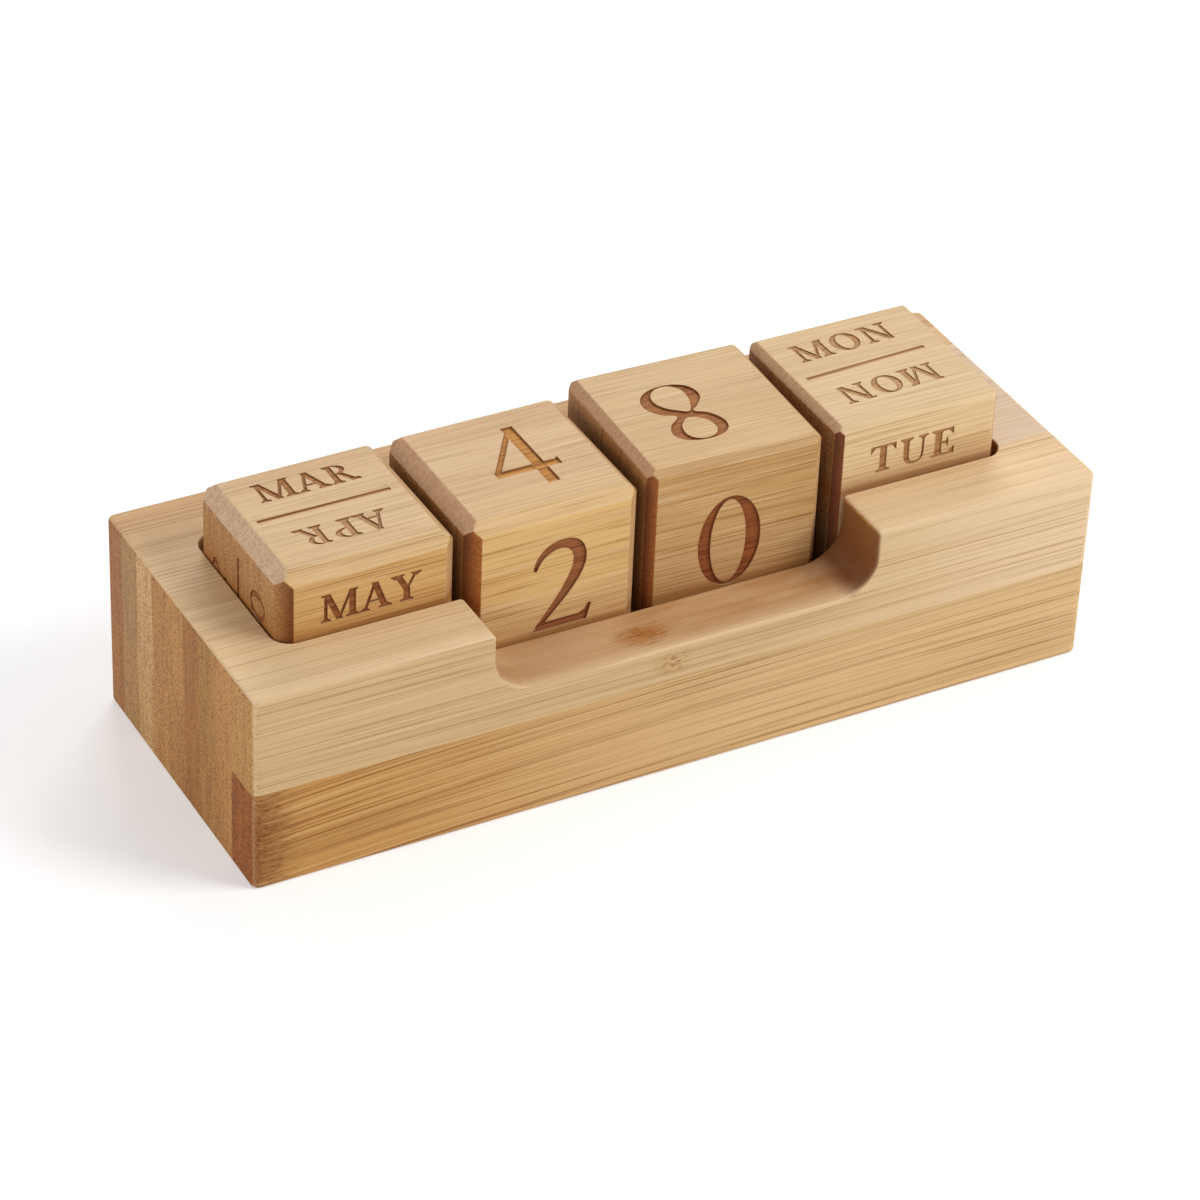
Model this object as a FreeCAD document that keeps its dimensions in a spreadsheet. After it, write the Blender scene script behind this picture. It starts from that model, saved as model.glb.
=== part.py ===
"""Perpetual desk calendar: a bamboo block with a milled pocket that holds four loose cubes.

Frame: millimetres, +Z up, +X to the right along the row and +Y from the front to the back.
The origin is at the middle of the block's underside.
"""
import FreeCAD, Part
import os
import re
import Sketcher

# Driving dimensions. Each one becomes a cell of the spreadsheet, and is written once, here.
SIZES = {
    "cube_side": 40.5,      # over a cube's flat faces
    "units_extra": 0.9,     # the units cube is sawn this much larger
    # What is planed off every edge of a cube, measured along either face.
    "month_chamfer": 3.0,
    "tens_chamfer": 2.9,
    "units_chamfer": 1.8,
    "weekday_chamfer": 1.6,
    # The row, from the pocket's left end to its right end.
    "month_gap": 0.3,       # wall to month cube
    "tens_gap": 2.2,        # month cube to tens cube
    "units_gap": 3.1,       # tens cube to units cube
    "weekday_gap": 3.1,     # units cube to weekday cube
    "last_gap": 1.9,        # weekday cube to wall
    # How far behind the pocket's front wall each loose cube stands.
    "month_standoff": 0.5,
    "tens_standoff": 0.4,
    "units_standoff": 1.1,
    "weekday_standoff": 1.2,
    "row_play": 3.0,        # the pocket is this much wider than a cube
    # The glued block.
    "left_wall": 12.9,      # bamboo left at the pocket's left end
    "right_wall": 13.6,     # bamboo left at its right end
    "front_wall": 15.5,     # bamboo left in front of the pocket
    "back_wall": 15.5,      # bamboo left behind it
    "floor_height": 23.0,   # the pocket's floor, which is the seam between inner staves
    "pocket_depth": 24.5,   # from the block's top to the pocket's floor
    "pocket_corner": 4.5,   # radius that the milling cutter leaves
    "front_stave": 10.5,    # thickness of the two front staves, the others share the rest
    "seam_rise": 1.0,       # the seam between the two front staves lies this much higher
    "upright_round": 1.8,   # radius of the four upright corners
    "edge_round": 1.0,      # radius of the other sanded edges
    "rim_round": 0.4,       # radius of the pocket's rim, which is only just broken
    # The finger scoop in the front wall.
    "scoop_width": 90.5,
    "scoop_depth": 15.0,    # from the block's top
    "scoop_corner": 9.0,    # radius of its two lower corners
    # How far a shape that cuts reaches past the bamboo.
    "overrun": 5.0,
}
# How far each loose cube has turned about its upright axis, in degrees.
TURNS = {"month": 0.5, "tens": 0.2, "units": -1.9, "weekday": -0.2}

BLOCK_STAVES = 9
CUBE_STAVES = 4
NEAR_SHARE = 1e-5

# Sizes that follow from the driving ones, as formulas that stay in brackets,
# so that one can stand inside another.
SIDES = dict.fromkeys(TURNS, "cube_side") | {"units": "(cube_side + units_extra)"}
POCKET_LENGTH = f"(month_gap + tens_gap + units_gap + weekday_gap + last_gap + {' + '.join(SIDES.values())})"
POCKET_WIDTH = "(cube_side + row_play)"
BLOCK_LENGTH = f"({POCKET_LENGTH} + left_wall + right_wall)"
BLOCK_WIDTH = f"({POCKET_WIDTH} + front_wall + back_wall)"
BLOCK_HEIGHT = "(floor_height + pocket_depth)"
BLOCK_FRONT = f"(0 - {BLOCK_WIDTH} / 2)"
POCKET_LEFT = f"(left_wall - {BLOCK_LENGTH} / 2)"
INNER_STAVE = f"(({BLOCK_WIDTH} - front_stave) / {BLOCK_STAVES - 1})"

doc = FreeCAD.newDocument("desk_calendar")
sheet = doc.addObject("Spreadsheet::Sheet", "Sizes")
for row, (name, size) in enumerate(SIZES.items(), start=1):
    sheet.set(f"A{row}", name)
    sheet.set(f"B{row}", str(size))
    sheet.setAlias(f"B{row}", name)
doc.recompute()


def bind(thing, **formulas):
    """Ties properties of an object to formulas; a double underscore stands for a full stop."""
    for key, formula in formulas.items():
        thing.setExpression(key.replace("__", "."), re.sub(r"[a-z_]+", r"Sizes.\g<0>", formula))


def centred_rectangle(body, name, role, width, height, **offset):
    """A rectangle about the middle of one of the body's origin planes, moved by offset."""
    sketch = body.newObject("Sketcher::SketchObject", name)
    plane = next(feature for feature in body.Origin.OriginFeatures if feature.Role == role)
    sketch.AttachmentSupport = [(plane, "")]
    sketch.MapMode = "FlatFace"
    side = SIZES["cube_side"]
    corners = [FreeCAD.Vector(x * side, y * side, 0) for x, y in ((-1, -1), (1, -1), (1, 1), (-1, 1))]
    for start, end in zip(corners, corners[1:] + corners[:1]):
        sketch.addGeometry(Part.LineSegment(start, end), False)
    rules = [Sketcher.Constraint("Coincident", line, 2, (line + 1) % 4, 1) for line in range(4)]
    rules += [Sketcher.Constraint("Horizontal", line) for line in (0, 2)]
    rules += [Sketcher.Constraint("Vertical", line) for line in (1, 3)]
    rules += [Sketcher.Constraint("Symmetric", 0, 1, 2, 1, -1, 1)]
    sketch.addConstraint(rules)
    wide = sketch.addConstraint(Sketcher.Constraint("DistanceX", 0, 1, 0, 2, 2 * side))
    tall = sketch.addConstraint(Sketcher.Constraint("DistanceY", 1, 1, 1, 2, 2 * side))
    sketch.renameConstraint(wide, "wide")
    sketch.renameConstraint(tall, "tall")
    bind(sketch, Constraints__wide=width, Constraints__tall=height)
    bind(sketch, **{f"AttachmentOffset__Base__{axis}": formula for axis, formula in offset.items()})
    return sketch


def pad(body, name, sketch, length):
    """The first solid of a body."""
    feature = body.newObject("PartDesign::Pad", name)
    feature.Profile = sketch
    bind(feature, Length=length)
    doc.recompute()
    return feature


def cut_pocket(body, name, sketch, depth):
    """A pocket cut against the sketch's normal, which has to take bamboo away."""
    before = body.Shape.Volume
    feature = body.newObject("PartDesign::Pocket", name)
    feature.Profile = sketch
    feature.Reversed = False
    bind(feature, Length=depth)
    doc.recompute()
    if not body.Shape.Volume < before:
        raise RuntimeError(name + " cut nothing")
    return feature


def dress_edges(body, kind, name, base, wanted, **formulas):
    """A fillet or chamfer on each edge of the base whose points and direction are wanted."""
    edges = []
    for number, edge in enumerate(base.Shape.Edges, start=1):
        middle = (edge.FirstParameter + edge.LastParameter) / 2
        if wanted(edge.discretize(BLOCK_STAVES), edge.tangentAt(middle)):
            edges.append(f"Edge{number}")
    feature = body.newObject("PartDesign::" + kind, name)
    feature.Base = (base, edges)
    bind(feature, **formulas)
    doc.recompute()
    print(name, "takes", len(edges), "edges")
    return feature


def machined_block():
    """The block as it leaves the bench: glued up, milled, scooped and sanded."""
    body = doc.addObject("PartDesign::Body", "MachinedBlock")
    outline = centred_rectangle(body, "BlockOutline", "XY_Plane", BLOCK_LENGTH, BLOCK_WIDTH)
    box = pad(body, "Block", outline, BLOCK_HEIGHT).Shape.BoundBox
    near = box.DiagonalLength * NEAR_SHARE

    outline = centred_rectangle(body, "PocketOutline", "XY_Plane", POCKET_LENGTH, POCKET_WIDTH,
                                x="(left_wall - right_wall) / 2", y="(front_wall - back_wall) / 2",
                                z=BLOCK_HEIGHT)
    cut_pocket(body, "CubePocket", outline, "pocket_depth")

    # The scoop's outline stands in front of the block and reaches above its top.
    outline = centred_rectangle(body, "ScoopOutline", "XZ_Plane", "scoop_width", "scoop_depth + overrun",
                                y=f"{BLOCK_HEIGHT} + (overrun - scoop_depth) / 2",
                                z=f"{BLOCK_WIDTH} / 2 + overrun")
    scoop = cut_pocket(body, "FingerScoop", outline, "front_wall + 2 * overrun")

    pocket_ends = box.XMin + SIZES["left_wall"], box.XMax - SIZES["right_wall"]
    wall_back = box.YMin + SIZES["front_wall"]
    pocket_back = box.YMax - SIZES["back_wall"]
    scoop_side = SIZES["scoop_width"] / 2
    scoop_bottom = box.ZMax - SIZES["scoop_depth"]

    def scoop_corner(points, direction):
        low = all(abs(p.z - scoop_bottom) < near for p in points)
        return low and abs(direction.y) > 1 - NEAR_SHARE

    rounded = dress_edges(body, "Fillet", "ScoopCorners", scoop, scoop_corner, Radius="scoop_corner")

    def pocket_corner(points, direction):
        inside = any(all(abs(p.x - end) < near for p in points) for end in pocket_ends)
        return inside and abs(direction.z) > 1 - NEAR_SHARE

    rounded = dress_edges(body, "Fillet", "PocketCorners", rounded, pocket_corner, Radius="pocket_corner")

    def upright(points, direction):
        outside = all(abs(box.XMax - abs(p.x)) < near for p in points)
        return outside and abs(direction.z) > 1 - NEAR_SHARE

    rounded = dress_edges(body, "Fillet", "UprightCorners", rounded, upright, Radius="upright_round")

    def rim(points, direction, reach=near):
        """An edge in the top plane that keeps within reach of the pocket."""
        return all(abs(box.ZMax - p.z) < near and pocket_ends[0] - reach < p.x < pocket_ends[1] + reach
                   and wall_back - reach < p.y < pocket_back + reach for p in points)

    rounded = dress_edges(body, "Fillet", "BrokenRim", rounded, rim, Radius="rim_round")

    def sanded(points, direction):
        """An edge that lies in an outer plane of the block, or in the scoop's back plane."""
        planes = [
            [p.z for p in points],
            [box.ZMax - p.z for p in points],
            [box.XMax - abs(p.x) for p in points],
            [p.y - box.YMin for p in points],
            [box.YMax - p.y for p in points],
        ]
        if all(p.z > scoop_bottom - near and abs(p.x) < scoop_side + near for p in points):
            planes.append([wall_back - p.y for p in points])
        in_a_plane = any(max(abs(distance) for distance in plane) < near for plane in planes)
        return in_a_plane and not rim(points, direction, SIZES["rim_round"] + near)

    dress_edges(body, "Fillet", "SandedEdges", rounded, sanded, Radius="edge_round")
    return body


def cube_blank(cube):
    """One cube with its chamfers, standing on the origin."""
    body = doc.addObject("PartDesign::Body", cube + "_blank")
    outline = centred_rectangle(body, cube + "_outline", "XY_Plane", SIDES[cube], SIDES[cube])
    sawn = pad(body, cube + "_sawn", outline, SIDES[cube])
    dress_edges(body, "Chamfer", cube + "_planed", sawn, lambda points, direction: True,
                Size=cube + "_chamfer")
    return body


def slab(name, low, high):
    """A box between two corners given as formulas, which tells one stave from its neighbours."""
    box = doc.addObject("Part::Box", name)
    span = [f"({end}) - ({start})" for start, end in zip(low, high)]
    bind(box, Length=span[0], Width=span[1], Height=span[2],
         Placement__Base__x=low[0], Placement__Base__y=low[1], Placement__Base__z=low[2])
    return box


def stave(label, whole, cutter):
    """The part of a glued-up whole that one stave holds."""
    piece = doc.addObject("Part::Common", label)
    piece.Label = label
    piece.Base = whole
    piece.Tool = cutter
    return piece


def block_staves(block):
    """Nine lower staves, and the upper ones, of which the pocket leaves five as two stubs each."""
    left = f"(0 - {BLOCK_LENGTH} / 2 - overrun)"
    right = f"({BLOCK_LENGTH} / 2 + overrun)"
    bottom = "(0 - overrun)"
    top = f"({BLOCK_HEIGHT} + overrun)"
    pieces = []
    for number in range(1, BLOCK_STAVES + 1):
        front = f"({BLOCK_FRONT} + front_stave + {number - 2} * {INNER_STAVE})"
        back = f"({BLOCK_FRONT} + front_stave + {number - 1} * {INNER_STAVE})"
        seam = "floor_height"
        if number == 1:
            front = f"({BLOCK_FRONT} - overrun)"
            seam = "(floor_height + seam_rise)"
        if number == BLOCK_STAVES:
            back = f"({back} + overrun)"
        spans = {"lower": (left, right, bottom, seam), "upper": (left, right, seam, top)}
        if 2 < number < BLOCK_STAVES - 1:
            del spans["upper"]
            spans["left"] = (left, "0", seam, top)
            spans["right"] = ("0", right, seam, top)
        for place, (x_low, x_high, z_low, z_high) in spans.items():
            label = f"base_stave_{number}_{place}"
            cutter = slab("slab_of_" + label, (x_low, front, z_low), (x_high, back, z_high))
            pieces.append(stave(label, block, cutter))
    return pieces


def cube_staves(blanks):
    """Eight staves for each cube, placed and turned in the row as the loose cubes lie."""
    pieces = []
    wall = POCKET_LEFT
    for cube, side in SIDES.items():
        middle = f"({wall} + {cube}_gap + {side} / 2)"
        wall = f"({middle} + {side} / 2)"
        reach = f"({side} / 2 + overrun)"
        for number in range(1, CUBE_STAVES + 1):
            front, back = (f"({edge} * {side} / {CUBE_STAVES} - {side} / 2)" for edge in (number - 1, number))
            for place, low, high in (("lower", "0", f"({side} / 2)"), ("upper", f"({side} / 2)", side)):
                label = f"{cube}_cube_stave_{number}_{place}"
                cutter = slab("slab_of_" + label, (f"(0 - {reach})", front, low), (reach, back, high))
                piece = stave(label, blanks[cube], cutter)
                piece.Placement = FreeCAD.Placement(FreeCAD.Vector(), FreeCAD.Vector(0, 0, 1), TURNS[cube])
                bind(piece, Placement__Base__x=middle,
                     Placement__Base__y=f"{BLOCK_FRONT} + front_wall + {cube}_standoff + {side} / 2",
                     Placement__Base__z="floor_height")
                pieces.append(piece)
    return pieces


block = machined_block()
blanks = {cube: cube_blank(cube) for cube in TURNS}
base_pieces = block_staves(block)
cube_pieces = cube_staves(blanks)
doc.recompute()

for thing in doc.Objects:
    if {"Invalid", "Error"} & set(thing.State):
        raise RuntimeError(thing.Label + " failed: " + ", ".join(thing.State))
for piece in base_pieces + cube_pieces:
    if piece.Shape.isNull() or not piece.Shape.isValid() or len(piece.Shape.Solids) != 1:
        raise RuntimeError(piece.Label + " is not one valid solid")

# What the staves hold together has to be what was cut apart.
for name, wholes, pieces in (("block", [block], base_pieces), ("cubes", blanks.values(), cube_pieces)):
    whole_volume = sum(whole.Shape.Volume for whole in wholes)
    parts_volume = sum(piece.Shape.Volume for piece in pieces)
    print(name, len(pieces), "staves,", round(parts_volume / 1000, 2), "cm3")
    if abs(parts_volume - whole_volume) > NEAR_SHARE * parts_volume:
        raise RuntimeError("the staves of the " + name + " don't add up")

os.makedirs("parts", exist_ok=True)
for piece in base_pieces + cube_pieces:
    piece.Shape.exportStep(f"parts/{piece.Label}.step")
print(len(base_pieces + cube_pieces), "parts written")
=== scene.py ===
# %% [markdown]
# # A perpetual desk calendar in glued bamboo
#
# The real thing is a block of glued bamboo staves with a pocket milled into its top. Four loose cubes stand in the
# pocket: the month, the tens and units of the date, and the weekday. A wide finger scoop is cut through the front
# wall, so that a finger can tip the middle cubes out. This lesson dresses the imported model: the block keeps its
# staves and gets bamboo for its surfaces, and the plain cubes give way to engraved ones.
#
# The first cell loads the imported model. It is in metres and stays as it is. The numbers below it are in
# millimetres, as a workshop drawing has them, and MM turns them into metres.

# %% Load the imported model
import math
import bpy
import numpy as np
from mathutils import Matrix, Vector
from mathutils.geometry import delaunay_2d_cdt


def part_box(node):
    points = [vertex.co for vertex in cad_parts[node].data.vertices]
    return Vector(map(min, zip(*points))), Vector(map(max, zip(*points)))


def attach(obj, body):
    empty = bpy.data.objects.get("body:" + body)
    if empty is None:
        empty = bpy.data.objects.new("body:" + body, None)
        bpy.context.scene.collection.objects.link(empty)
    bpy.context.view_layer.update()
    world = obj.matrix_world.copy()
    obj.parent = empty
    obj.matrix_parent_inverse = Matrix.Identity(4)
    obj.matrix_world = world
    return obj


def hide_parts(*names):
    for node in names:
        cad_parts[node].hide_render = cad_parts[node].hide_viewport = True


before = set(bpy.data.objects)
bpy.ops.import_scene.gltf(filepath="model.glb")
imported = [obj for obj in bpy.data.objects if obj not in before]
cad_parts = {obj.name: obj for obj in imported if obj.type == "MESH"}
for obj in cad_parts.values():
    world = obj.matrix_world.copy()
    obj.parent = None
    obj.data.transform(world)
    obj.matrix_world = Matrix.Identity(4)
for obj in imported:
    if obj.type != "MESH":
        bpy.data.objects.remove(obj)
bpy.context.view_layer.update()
MM = 0.001

# %% [markdown]
# ## The camera
#
# The camera comes first, because every later step is judged through it. The photograph was taken from the left of
# the front, looking down by about 35 degrees, from a little under a metre away with a long lens, so the block's
# edges run almost parallel. It leans by 2.6 degrees. A camera looks along its own -Z axis, so its matrix holds the
# right, up and backward directions as columns. The Standard view shows a colour as it is written.

# %% Place the camera
VIEW_TURN, VIEW_RISE, VIEW_LEAN = math.radians(-29.39), math.radians(34.84), math.radians(2.57)
VIEW_FROM = 953.0
VIEW_AT = Vector((-21.8, -37.25, 49.8))
LENS = 4641.3 / 1200 * 36.0

back = Vector((math.sin(VIEW_TURN) * math.cos(VIEW_RISE), -math.cos(VIEW_TURN) * math.cos(VIEW_RISE),
               math.sin(VIEW_RISE)))
level = Vector((math.cos(VIEW_TURN), math.sin(VIEW_TURN), 0.0))
upward = back.cross(level)
right = level * math.cos(VIEW_LEAN) + upward * math.sin(VIEW_LEAN)
up = upward * math.cos(VIEW_LEAN) - level * math.sin(VIEW_LEAN)
camera_data = bpy.data.cameras.new("calendar_camera")
camera_data.lens = LENS
camera_data.sensor_width = 36.0
camera_data.clip_start = 0.05
camera_data.clip_end = 50.0
camera = bpy.data.objects.new("calendar_camera", camera_data)
bpy.context.scene.collection.objects.link(camera)
place = Matrix((right, up, back)).transposed().to_4x4()
place.translation = (VIEW_AT + back * VIEW_FROM) * MM
camera.matrix_world = place
bpy.context.scene.camera = camera
bpy.context.scene.view_settings.view_transform = "Standard"
print("camera at, mm", [round(c / MM, 1) for c in place.translation], "lens", round(LENS, 1))

# %% [markdown]
# ## Shader maths as expressions
#
# A bamboo surface is a sum of streaks, specks and masks, and a sum is easier to read as an expression than as a
# picture of wires. `Value` wraps the output of a node, and a sum, difference or product on it adds a Math node.
# `Finish` holds the nodes of a material or of the sky. Its method `node` adds a node of any kind: it sets the settings
# first and then the sockets, by name or number, from plain numbers or from other values. The methods after it each
# name a step that returns often.

# %% A socket that does sums
class Value:
    """An output socket. A sum, difference, product or quotient with it adds a Math node to its finish."""

    def __init__(self, finish, out):
        self.finish, self.out = finish, out

    def maths(self, operation, a, b):
        return self.finish.node("ShaderNodeMath", {"operation": operation}, {0: a, 1: b})

    def __add__(self, other):
        return self.maths("ADD", self, other)

    def __radd__(self, other):
        return self.maths("ADD", other, self)

    def __sub__(self, other):
        return self.maths("SUBTRACT", self, other)

    def __rsub__(self, other):
        return self.maths("SUBTRACT", other, self)

    def __mul__(self, other):
        return self.maths("MULTIPLY", self, other)

    def __rmul__(self, other):
        return self.maths("MULTIPLY", other, self)

    def __truediv__(self, other):
        return self.maths("DIVIDE", self, other)

    def __abs__(self):
        return self.maths("ABSOLUTE", self, 0.0)


# %% A finish that makes nodes
class Finish:
    """The nodes of a material or sky, with a method that adds any node and others that name a whole step."""

    def __init__(self, owner):
        self.owner = owner
        owner.use_nodes = True
        self.tree = owner.node_tree
        self.tree.nodes.clear()

    def node(self, kind, settings=None, sockets=None, out=0):
        made = self.tree.nodes.new(kind)
        settings = dict(settings or {})
        stops = settings.pop("stops", ())
        for key, value in settings.items():
            setattr(made, key, value)
        if stops:
            made.color_ramp.interpolation = "CONSTANT"
            for spot, colour in stops[2:]:
                made.color_ramp.elements.new(spot)
            for element, (spot, colour) in zip(made.color_ramp.elements, stops):
                element.position, element.color = spot, colour
        for key, value in (sockets or {}).items():
            if isinstance(value, Value):
                self.tree.links.new(value.out, made.inputs[key])
            else:
                made.inputs[key].default_value = value
        return Value(self, made.outputs[out]) if made.outputs else made

    def step(self, value, low, high, start=0.0, end=1.0):
        """Goes smoothly from start to end as the value goes from low to high."""
        sockets = {"Value": value, "From Min": low, "From Max": high, "To Min": start, "To Max": end}
        return self.node("ShaderNodeMapRange", {"interpolation_type": "SMOOTHSTEP"}, sockets)

    def tint(self, under, over, share):
        """The colour under, covered by the colour over as far as share says."""
        return self.node("ShaderNodeMix", {"data_type": "RGBA"}, {0: share, 6: under, 7: over}, out=2)

    def vector(self, operation, a, b=(0.0, 0.0, 0.0), out=0):
        """A sum, difference, product, quotient or length of vectors or colours."""
        return self.node("ShaderNodeVectorMath", {"operation": operation}, {0: a, 1: b}, out)

    def mapped(self, spot, scale, shift=(0.0, 0.0, 0.0), turn=0.0):
        """The spot scaled along x, y and z, turned about z and then moved."""
        return self.node("ShaderNodeMapping", None,
                         {"Vector": spot, "Location": shift, "Rotation": (0.0, 0.0, turn), "Scale": scale})

    def place(self, shift=(0.0, 0.0, 0.0), turn=0.0):
        """Where the shaded point lies on its object, in mm."""
        return self.mapped(self.node("ShaderNodeTexCoord", out="Object"), (1 / MM, 1 / MM, 1 / MM), shift, turn)

    def along(self, vector, axis):
        """What a vector has along x, y or z, which are 0, 1 and 2."""
        return self.node("ShaderNodeSeparateXYZ", None, {0: vector}, axis)

    def normal(self, axis):
        """The surface's direction along x, y or z, from -1 to 1."""
        return self.along(self.node("ShaderNodeTexCoord", out="Normal"), axis)

    def facing(self, axis):
        """Is 1 on faces that look along the axis, and 0 on the others."""
        return self.step(abs(self.normal(axis)), 0.60, 0.85)

    def clouds(self, spot, size, shift, detail=0.0, rough=0.5):
        """Smooth noise from 0 to 1, mostly near 0.5, whose lumps have the given size in mm along x, y and z."""
        laid = self.mapped(spot, [1.0 / s for s in size], shift)
        return self.node("ShaderNodeTexNoise", None,
                         {"Vector": laid, "Scale": 1.0, "Detail": detail, "Roughness": rough})


def paint(red, green, blue):
    """A colour as a picture writes it, 0 to 255, turned into the linear light that a shader needs."""
    c = np.array([red, green, blue]) / 255.0
    linear = np.where(c <= 0.04045, c / 12.92, ((c + 0.055) / 1.055) ** 2.4)
    return (*[float(v) for v in linear], 1.0)


print("paint(212, 179, 134) is", [round(v, 3) for v in paint(212, 179, 134)])

# %% [markdown]
# ## Bamboo
#
# A bamboo strip is all fibres along one way, here along x. Seen from the side they are long streaks, some pale,
# some honey brown, and at a cut end they are a field of small specks, denser towards the culm's skin. A picture of
# wood would need to be bent round each corner, so the bamboo is a solid pattern instead: noise that is stretched
# along x by a hundred times or more. It comes out as streaks on the long faces and as specks on the ends, and it
# runs over a rounded edge as real fibre does.

# %% Fibres that wander a little
def wander(finish, spot, seed, drift, rise):
    """Moves y and z by a slow noise of up to drift mm, and lowers z by rise, a value or zero."""
    slow = finish.clouds(spot, (150.0, 20.0, 20.0), (seed, seed * 1.7, 0.0))
    bend = (slow - 0.5) * (2.0 * drift)
    return finish.vector("ADD", spot, finish.node("ShaderNodeCombineXYZ", None, {0: 0.0, 1: bend, 2: bend - rise}))


# %% The layers of the grain
def grain(finish, spot, seed, long=1.0):
    """Slow bands, streaks, fine lines, sparse dark and pale lines and hair-fine fibre, each from 0 to 1. Long
    scales how far the lines run."""
    band = finish.clouds(spot, (230.0, 5.5, 5.5), (seed, 2.0 * seed, 3.0), 1.0)
    streak = finish.clouds(spot, (120.0 * long, 0.80, 0.80), (1.0 - seed, seed, 1.3 * seed), 2.0, 0.55)
    fine = finish.clouds(spot, (55.0 * long, 0.30, 0.30), (seed * 0.7, 3.0, seed), 1.0, 0.6)
    dark = finish.clouds(spot, (65.0 * long, 0.36, 0.36), (4.0 + seed, 7.0, seed))
    pale = finish.clouds(spot, (70.0 * long, 0.52, 0.52), (2.0 * seed, 5.0, 9.0 - seed))
    fibre = finish.clouds(spot, (8.0, 0.17, 0.17), (seed, 1.0, 8.0), 2.0, 0.6)
    return {"band": band, "streak": finish.step(streak, 0.44, 0.66), "fine": fine, "fibre": fibre,
            "dark": finish.step(dark, 0.59, 0.70), "pale": finish.step(pale, 0.58, 0.70)}


# %% Cut ends
def specks(finish, spot, seed, size):
    """Cut fibres: dark dots about size mm apart, over a fine grit and upright bands, from about -0.6 to 1.3."""
    flat = finish.mapped(spot, (0.02, 1.0 / size, 1.0 / size), (0.0, seed, seed))
    cell = finish.node("ShaderNodeTexVoronoi", {"feature": "F1"}, {"Vector": flat, "Scale": 1.0, "Randomness": 1.0})
    bands = finish.clouds(spot, (40.0, 1.3, 22.0), (seed, 0.0, 0.0), 2.0, 0.6)
    grit = finish.clouds(spot, (40.0, 0.27, 0.33), (seed, 4.0, 2.0), 1.0)
    dots = finish.step(cell, 0.25, 0.60, 1.0, 0.0)
    return dots * 0.75 + (bands - 0.5) * 1.5 + (grit - 0.5) * 2.4


# %% The culm's nodes
def knot(finish, spot, colour, centre, reach, tone, fleck_tone, seed, weight=0.85):
    """A node of the culm, where the fibres turn and take up resin.

    Its strength falls from the centre with the distance measured in reaches along x, y and z, ragged by noise. The
    cut end keeps its own tone."""
    scaled = finish.vector("DIVIDE", finish.vector("SUBTRACT", spot, centre), reach)
    far = finish.vector("LENGTH", scaled, out="Value")
    rag = finish.clouds(spot, (5.0, 0.7, 0.9), (seed, seed, 0.0), 3.0, 0.65)
    body = finish.step(far + (rag - 0.5) * 1.2, 0.15, 1.05, 1.0, 0.0) * (1.0 - finish.facing(0))
    fleck = finish.step(finish.clouds(spot, (1.6, 0.30, 0.34), (seed, 3.0, 1.0), 2.0), 0.46, 0.64)
    stained = finish.tint(colour, tone, body * weight)
    return finish.tint(stained, fleck_tone, body * fleck * 0.7)


# %% The finger scoop
SCOOP_HALF, BLOCK_TOP = 45.3, 47.5


def scoop_shade_and_burn(finish, spot, colour):
    """Painted shade in the finger scoop, with a little browning where the cutter rubbed: a little darker on the scoop's
    floor, but less along its front edge, which stays paler as a painted highlight, and much darker on the steep right
    end, the deeper down the more."""
    x, y, z = (finish.along(spot, axis) for axis in (0, 1, 2))
    inside = finish.step(abs(x), SCOOP_HALF, SCOOP_HALF + 1.0, 1.0, 0.0)
    inside = inside * finish.step(z, BLOCK_TOP - 1.3, BLOCK_TOP - 0.3, 1.0, 0.0)
    cloudy = finish.clouds(spot, (22.0, 5.0, 5.0), (3.0, 1.0, 0.0), 1.0)
    # Painted shade of the cubes on the scoop's floor, kept off its front edge as a painted highlight.
    floor = finish.facing(2) * inside * finish.step(y, -36.6, -33.0, 0.2, 1.0)
    brown = finish.tint(paint(193, 149, 106), paint(178, 124, 72), finish.step(cloudy, 0.42, 0.64))
    colour = finish.tint(colour, brown, floor * finish.step(x, -50.0, 40.0, 0.62, 0.80))
    # Painted shade on the steep right end, darker the deeper down, over a little browning of the end grain.
    deep = finish.tint(paint(106, 58, 26), paint(128, 82, 46), finish.step(z, 34.0, 47.0))
    steep = finish.step(abs(finish.normal(0)), 0.10, 0.65)
    return finish.tint(colour, deep, steep * inside * finish.step(x, -20.0, 20.0, 0.2, 0.9))


# %% Painted highlight on the rounded edges
def edge_highlight(finish, colour, share):
    """A painted highlight: paler on the rounded edges, where the largest of |x|, |y| and |z| of the surface's direction
    is under 1.
    """
    x, y, z = (abs(finish.normal(axis)) for axis in (0, 1, 2))
    flat = x.maths("MAXIMUM", x, x.maths("MAXIMUM", y, z))
    return finish.tint(colour, paint(238, 212, 180), finish.step(flat, 0.985, 0.80, 0.0, share))


# %% Join it to the surface
def coat(finish, colour, roughness, height, lift):
    """Joins colour, roughness and a bump of lift mm to the surface shader and the output."""
    bump = finish.node("ShaderNodeBump", None, {"Strength": 1.0, "Distance": lift * MM, "Height": height})
    shader = finish.node("ShaderNodeBsdfPrincipled", None,
                         {"Base Color": colour, "Roughness": roughness, "Normal": bump, "Specular IOR Level": 0.22})
    finish.node("ShaderNodeOutputMaterial", None, {"Surface": shader})
    return finish.owner


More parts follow.
